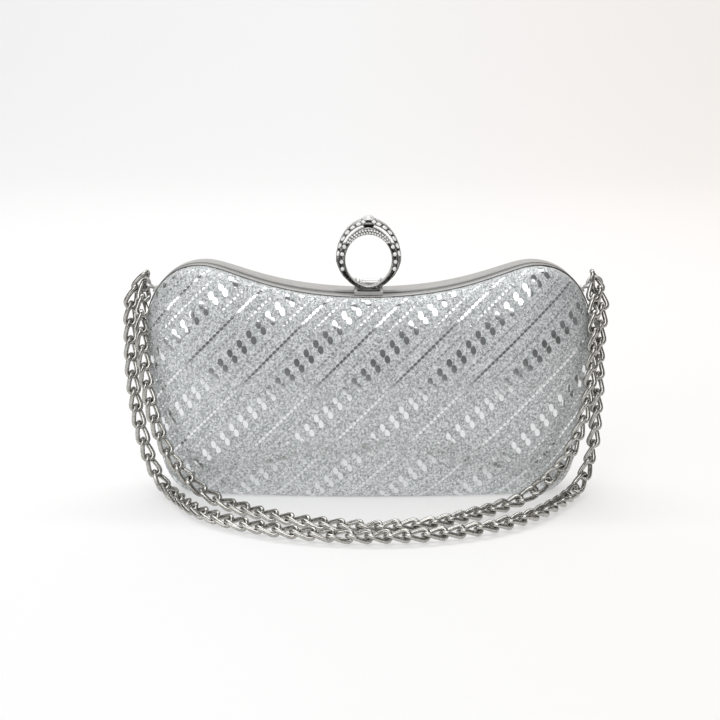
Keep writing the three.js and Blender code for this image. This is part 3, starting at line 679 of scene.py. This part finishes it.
def figured_lame():
    """Silver knit with foil figures. Cloth coordinates are millimetres: a runs up
    the diagonal and b across it, as in figures()."""
    f = Finish("figured_lame", (0.6, 0.62, 0.63), 0.55, 0.45)
    cloth = f.place("cloth")
    axes = f.tree.nodes.new("ShaderNodeSeparateXYZ")
    f.tree.links.new(cloth, axes.inputs[0])
    u, v = axes.outputs[0], axes.outputs[1]
    half = 2 ** -0.5
    a, b = f.linear(u, half, v, half), f.linear(u, half, v, -half)

    def nearest(value, step):
        """How far a value is from the nearest whole number of steps."""
        turns = f.math("ROUND", f.math("DIVIDE", value, step))
        return f.math("MULTIPLY_ADD", turns, -step, value)

    b = nearest(b, ROW_REPEAT)

    def oval(x, rx, y, ry):
        """1 at the middle of an oval, 0 on its edge, and below 0 outside."""
        return f.math("SUBTRACT", f.math("SUBTRACT", 1.0, f.math("POWER", f.math("DIVIDE", x, rx), 2.0)),
                      f.math("POWER", f.math("DIVIDE", y, ry), 2.0))

    found = []
    for shift, row in ((PAIR_SHIFT, -PAIR_ROW), (-PAIR_SHIFT, PAIR_ROW)):
        da = nearest(f.math("SUBTRACT", a, shift), PAIR_STEP)
        db = f.math("SUBTRACT", b, row)
        found.append(oval(f.linear(da, LEAN_LONG, db, LEAN_SHORT), 1.3,
                          f.linear(da, LEAN_SHORT, db, -LEAN_LONG), 2.1))
    beside = f.math("SUBTRACT", f.math("ABSOLUTE", b), DOT_ROW)
    found.append(oval(nearest(a, DOT_STEP), 0.8, beside, 0.6))
    edge = f.math("SUBTRACT", f.math("ABSOLUTE", b), ROW_REPEAT / 2)
    found.append(oval(nearest(a, DOT_STEP), 1.15, edge, 0.75))
    ovals = f.math("MAXIMUM", found[0], found[1])
    ragged = f.noise(cloth, 1.8, 1.0)
    dots = f.math("MULTIPLY", f.span(f.linear(found[2], 1.0, ragged, 0.5), 0.15, 0.5), 0.75)
    line = f.math("MULTIPLY", f.span(f.linear(found[3], 1.0, ragged, 0.3), 0.1, 0.4), 1.0)
    foil = f.math("MAXIMUM", f.span(ovals, -0.05, 0.15), f.math("MAXIMUM", dots, line))

    grain = f.cells(cloth, 1.7, 1)
    bright = f.span(grain, 0.2, 0.8)
    clumps = f.noise(cloth, 0.9, 3.0, 0.7)
    tone = f.linear(f.span(clumps, 0.35, 0.65), 0.22, bright, 0.78)
    ground = f.mix(tone, (0.27, 0.29, 0.295), (0.88, 0.905, 0.91))
    f.drive("Base Color", f.mix(foil, ground, (0.8, 0.82, 0.83)))
    f.drive("Metallic", f.math("MULTIPLY_ADD", foil, 0.6, 0.38))
    matt = f.span(bright, 0.0, 1.0, 0.6, 0.45)
    f.drive("Roughness", f.add("ShaderNodeMix", {0: foil, 2: matt, 3: 0.13}, data_type="FLOAT"))
    knit = f.math("MULTIPLY", f.cells(cloth, 1.7), f.math("SUBTRACT", 1.0, foil))
    f.bump(f.linear(knit, -0.6, foil, 0.3), 0.0004, 0.9)
    return f.material


def satin(name, colour, sheen):
    """Smooth satin: fine crossed threads, soft slack, and a faint mottle."""
    f = Finish(name, colour, 0.0, 0.42, Sheen_Weight=sheen, Sheen_Roughness=0.3)
    where = f.place()
    f.drive("Base Color", f.mix(f.noise(where, 60.0, 4.0), tuple(0.86 * c for c in colour), colour))
    threads = f.add("ShaderNodeTexWave", {"Vector": where, "Scale": 700.0, "Distortion": 1.5,
                                          "Detail": 2.0}, 1)
    slack = f.noise(where, 45.0, 2.0)
    f.bump(f.linear(threads, 0.05, slack, 1.0), 0.0006, 0.5)
    return f.material


def board(name, colour):
    """Pressed board: short fibres, specks and a dry, uneven face."""
    f = Finish(name, colour, 0.0, 0.85)
    where = f.place()
    specks = f.span(f.noise(where, 500.0, 6.0, 0.7), 0.35, 0.65)
    f.drive("Base Color", f.mix(specks, tuple(0.75 * c for c in colour), colour))
    f.bump(f.noise(where, 900.0, 5.0, 0.7), 0.00008, 0.6)
    return f.material


def cut_crystal(name, tint, clear, painted_glow):
    """Clear cut glass over a bright foil back: the facets do the work, with a faint painted glow from white
    emission and painted glints, brighter cells in the base colour.
    """
    f = Finish(name, tint, 0.0, 0.03, IOR=1.72, Transmission_Weight=clear, Coat_Weight=0.6,
               Coat_Roughness=0.02, Emission_Strength=painted_glow)
    # The white emission is a painted glow: the stones shine though no lamp lights them.
    f.shader.inputs["Emission Color"].default_value = (1, 1, 1, 1)
    # Painted glints: random cells of the base colour turned towards white.
    painted_glints = f.cells(f.place(), 900.0, 1)
    f.drive("Base Color", f.mix(f.span(painted_glints, 0.0, 1.0), tuple(0.8 * c for c in tint), (1.0, 1.0, 1.0)))
    f.drive("Roughness", f.span(f.noise(f.place(), 1200.0), 0.4, 0.6, 0.02, 0.07))
    return f.material


lame = figured_lame()
nickel = plated("bright_nickel", (0.66, 0.655, 0.635), (0.6, 0.595, 0.58), 0.42, 300.0, 0.00001)
# band_nickel reads the frame band's painted shade attribute.
band_nickel = plated("band_nickel", (0.52, 0.515, 0.495), (0.47, 0.465, 0.45), 0.34, 160.0, 0.00001,
                     "painted_shade")
silver = worn_silver("antique_silver", (0.50, 0.49, 0.47), (0.035, 0.035, 0.035), 0.2)
# Near black metal: the crown setting's own dark finish, and painted shade on the ring's tongue for the gap
# under the ring.
dark_silver_and_painted_shade = plated("dark_setting_and_painted_shade", (0.045, 0.045, 0.045), (0.01, 0.01, 0.01), 0.4, 700.0, 0.00004)
chain_finish = worn_silver("chain_silver", (0.52, 0.51, 0.48), (0.04, 0.038, 0.035), 0.2)
steel = plated("hinge_steel", (0.62, 0.62, 0.62), (0.40, 0.40, 0.41), 0.28, 300.0, 0.00002)
lining_satin = satin("lining_satin", (0.40, 0.41, 0.43), 0.5)
pressed_board = board("pressed_board", (0.30, 0.28, 0.26))
# The last number is each crystal's painted glow.
crystal = cut_crystal("cut_crystal", (0.97, 0.98, 1.0), 0.12, 0.16)
crown_crystal = cut_crystal("crown_crystal", (0.95, 0.97, 0.98), 0.25, 0.1)


def finish_with(piece, material):
    """Give a piece one material, in place of any it had."""
    piece.data.materials.clear()
    piece.data.materials.append(material)
    return piece


# ------------------------------------------------------------------ the pieces
def put_on(piece, body, slot, material, *nodes):
    """Finish a piece, set it on its body, and hide the CAD nodes it stands for."""
    finish_with(piece, material)
    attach(piece, body)
    if nodes:
        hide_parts(*nodes)
    return piece


for side, half in ((-1, "front"), (1, "back")):
    body = half + "_half"
    cover, (flat, area) = cloth_cover(half + "_cover_cloth", side)
    put_on(cover, body, "silver_fabric", lame, half + "_cover")
    put_on(frame_band(half + "_frame_band", side), body, "frame_nickel", band_nickel, half + "_frame")
    lining, lining_points, (flat, area) = satin_lining(half + "_satin_lining", side)
    put_on(lining, body, "satin_lining", lining_satin, half + "_lining")

pocket, pocket_front, hem_at = pocket_panel("pocket_panel", lining_points)
put_on(pocket, "back_half", "satin_lining", lining_satin, "slip_pocket")
inward = [0, -0.05 * MM, 0]
for name, line in (("pocket_hem_stitches", pocket_front[hem_at, 1:-1:3]),
                   ("pocket_left_stitches", pocket_front[1:hem_at:3, 3]),
                   ("pocket_right_stitches", pocket_front[1:hem_at:3, -4]),
                   ("pocket_foot_stitches", pocket_front[3, 3:-3:3])):
    put_on(stitches(name, line + inward, STITCH_PITCH, STITCH_LENGTH, THREAD), "back_half", "satin_lining",
           lining_satin)

for name, route, node in (("chain_outer_strand", OUTER_ROUTE, "chain_outer"),
                          ("chain_inner_strand", INNER_ROUTE, "chain_inner")):
    strand, centres, run = curb_chain(name, route)
    put_on(strand, "front_half", "chain_silver", chain_finish, node)
    print(name, "length", round(run, 4))

around = np.abs((np.arange(160) * 360 / 160 + 180) % 360 - 180)
shank_out = np.interp(around, [0, 20, 45, 60, 80, 90, 109, 128, 150, 180],
                      [0.50, 0.44, 0.37, 0.42, 0.85, 0.97, 0.66, 0.40, 0.27, 0.22])
gallery_in = np.interp(around, [0, 60, 78, 95, 180], [0.64, 0.64, 0.55, 0.3, 0.05])
gallery_out = np.interp(around, [0, 75, 90, 100, 110, 180], [1, 1, 0.97, 0.7, 0.3, 0.12])
put_on(ring_hoop("ring_shank", 0 * shank_out, shank_out, 0.55), "ring_lever", "ring_silver", silver,
       "finger_ring")
put_on(ring_hoop("ring_gallery", gallery_in, gallery_out, 0.5), "ring_lever", "ring_silver", silver)
# The tongue is near black: painted shade for the gap under the ring.
put_on(block("ring_tongue", TONGUE_LOW, TONGUE_HIGH, 1.2 * MM,
             0.8 * MM, 0.8 * MM), "ring_lever", "ring_silver", dark_silver_and_painted_shade)
put_on(turned("ring_barrel", [(1.5, -3.2), (1.9, -2.9), (1.9, 4.8), (1.5, 5.1)], PIN_PLACE, 0),
       "ring_lever", "ring_silver", nickel)
cells = np.radians([side * a for side in (-1, 1) for a in (19, 31, 43, 55, 67, 79)])
rows = np.radians(np.arange(-52, 53, 6.5))
sides_at = np.radians([side * a for side in (-1, 1) for a in (64, 78, 92, 105)])
for name, turns, out, size, stands_for in (
    ("cell", cells, 0.82, (1.35, 0.72), [f"arc_stone_{k}" for k in range(1, 9)]),
    ("pave_outer", rows, 0.29, (0.6, 0.52), []),
    ("pave_inner", rows[:-1] + np.radians(3.25), 0.12, (0.55, 0.48), []),
    ("side", sides_at, 0.38, (0.95, 0.95), []),
):
    centres, ups = stone_places(turns, out)
    sizes = np.tile(np.array(size) * MM, (len(centres), 1))
    put_on(stones(name + "_stones", centres, sizes, ups), "ring_lever", "crystal", crystal, *stands_for)
    put_on(collars(name + "_collars", centres, sizes, ups, COLLAR_WIRE), "ring_lever", "ring_silver", silver)
put_on(turned("crown_bowl",
              [(2.2, 125.9), (2.9, 126.7), (2.4, 127.8), (3.5, 129.1), (3.3, 129.5), (2.7, 129.3)],
              CROWN_PLACE, 2, 42, True), "ring_lever", "ring_silver", dark_silver_and_painted_shade, "crown_setting")
put_on(turned("crown_brilliant", [(0.4, 127.3), (3.1, 129.3), (3.1, 129.6), (2.5, 130.6), (1.5, 131.3)],
              CROWN_PLACE, 2, 10), "ring_lever", "crystal", crown_crystal, "crown_stone")
beside = np.array([(x, y, 128.6) for x in (-2.5, 2.5) for y in (-1.4, 6.4)]) * MM
upward = np.tile([0.0, 1.0], (4, 1))
small = np.tile(np.array([1.1, 0.8]) * MM, (4, 1))
put_on(stones("crown_side_stones", beside, small, upward), "ring_lever", "crystal", crystal)
put_on(collars("crown_side_collars", beside, small, upward, 0.2 * MM), "ring_lever", "ring_silver", silver)
for node in ("latch_keeper", "latch_spring", "lug_left", "lug_right", "jump_ring_left", "jump_ring_right",
             "clasp_bracket", "clasp_pin", "clasp_spring"):
    finish_with(nodes[node], nickel)
for node in nodes:
    if node.startswith("hinge"):
        finish_with(nodes[node], steel)
    if node.endswith("_shell"):
        finish_with(nodes[node], pressed_board)


# ------------------------------------------------------------------ floor and light
def sweep():
    """A pale floor that curves up into a backdrop far behind the bag. Its colour has painted warm light
    towards +X, and painted shade, near black, on the floor more than 0.24 to 0.34 m in front of the bag.
    """
    turn = np.linspace(0, np.pi / 2, 24)
    profile = np.vstack([[[-3.0, 0.0]], np.stack([1.6 + 0.9 * np.sin(turn), 0.9 - 0.9 * np.cos(turn)], -1),
                         [[2.5, 4.0]]])
    columns = np.linspace(-4, 4, 9)
    points = np.stack([np.tile(columns, (len(profile), 1)), np.repeat(profile[:, :1], 9, 1),
                       np.repeat(profile[:, 1:], 9, 1)], -1)
    floor = mesh_piece("floor", points.reshape(-1, 3), grid_faces(len(profile), 9, column_loop=False),
                       closed=False)
    f = Finish("pale_floor", (0.45, 0.45, 0.45), 0.0, 0.7, Emission_Strength=0.49)
    axes = f.tree.nodes.new("ShaderNodeSeparateXYZ")
    f.tree.links.new(f.place(), axes.inputs[0])
    # Painted warm light: the floor's colour turns warm towards +X.
    painted_warm_light = f.span(f.math("MULTIPLY_ADD", f.noise(f.place(), 3.0), 0.1, axes.outputs[0]), 0.0, 0.6)
    # Painted shade: beyond 0.24 to 0.34 m in front of the bag the floor turns near black, so the foils
    # reflect dark there.
    near = f.span(axes.outputs[1], -0.34, -0.24)
    pale = f.mix(painted_warm_light, (1.0, 1.0, 1.0), (1.0, 0.965, 0.94))
    f.drive("Emission Color", f.mix(near, (0.02, 0.02, 0.02), pale))
    grey = f.mix(painted_warm_light, (0.45, 0.45, 0.45), (0.45, 0.43, 0.415))
    f.drive("Base Color", f.mix(near, (0.1, 0.1, 0.1), grey))
    finish_with(floor, f.material)


def soft_light(name, place, aim, size, power, colour=(1, 1, 1)):
    """A rectangular lamp at a place, turned toward its aim."""
    lamp = bpy.data.lights.new(name, "AREA")
    lamp.shape, lamp.size, lamp.size_y = "RECTANGLE", size[0], size[1]
    lamp.energy, lamp.color = power, colour
    light = bpy.data.objects.new(name, lamp)
    light.location = place
    light.rotation_euler = (Vector(aim) - Vector(place)).to_track_quat("-Z", "Y").to_euler()
    bpy.context.collection.objects.link(light)


sweep()
soft_light("key_box", (-0.15, -1.15, 1.0), (0, 0, 0.05), (1.2, 1.0), 10)
soft_light("left_box", (-0.95, -0.85, 0.3), (0, 0, 0.08), (0.6, 0.5), 2.6)
soft_light("overhead_box", (-0.1, 0.1, 1.2), (0, 0, 0.05), (1.0, 0.8), 4.6)
soft_light("backdrop_wash", (0, 0.6, 1.8), (0, 2.2, 0.3), (3.0, 0.6), 31)
world = bpy.data.worlds.new("white_room")
world.use_nodes = True
world.node_tree.nodes["Background"].inputs[0].default_value = (1, 1, 1, 1)
world.node_tree.nodes["Background"].inputs[1].default_value = 0.17
bpy.context.scene.world = world
bpy.context.scene.view_settings.view_transform = "Standard"
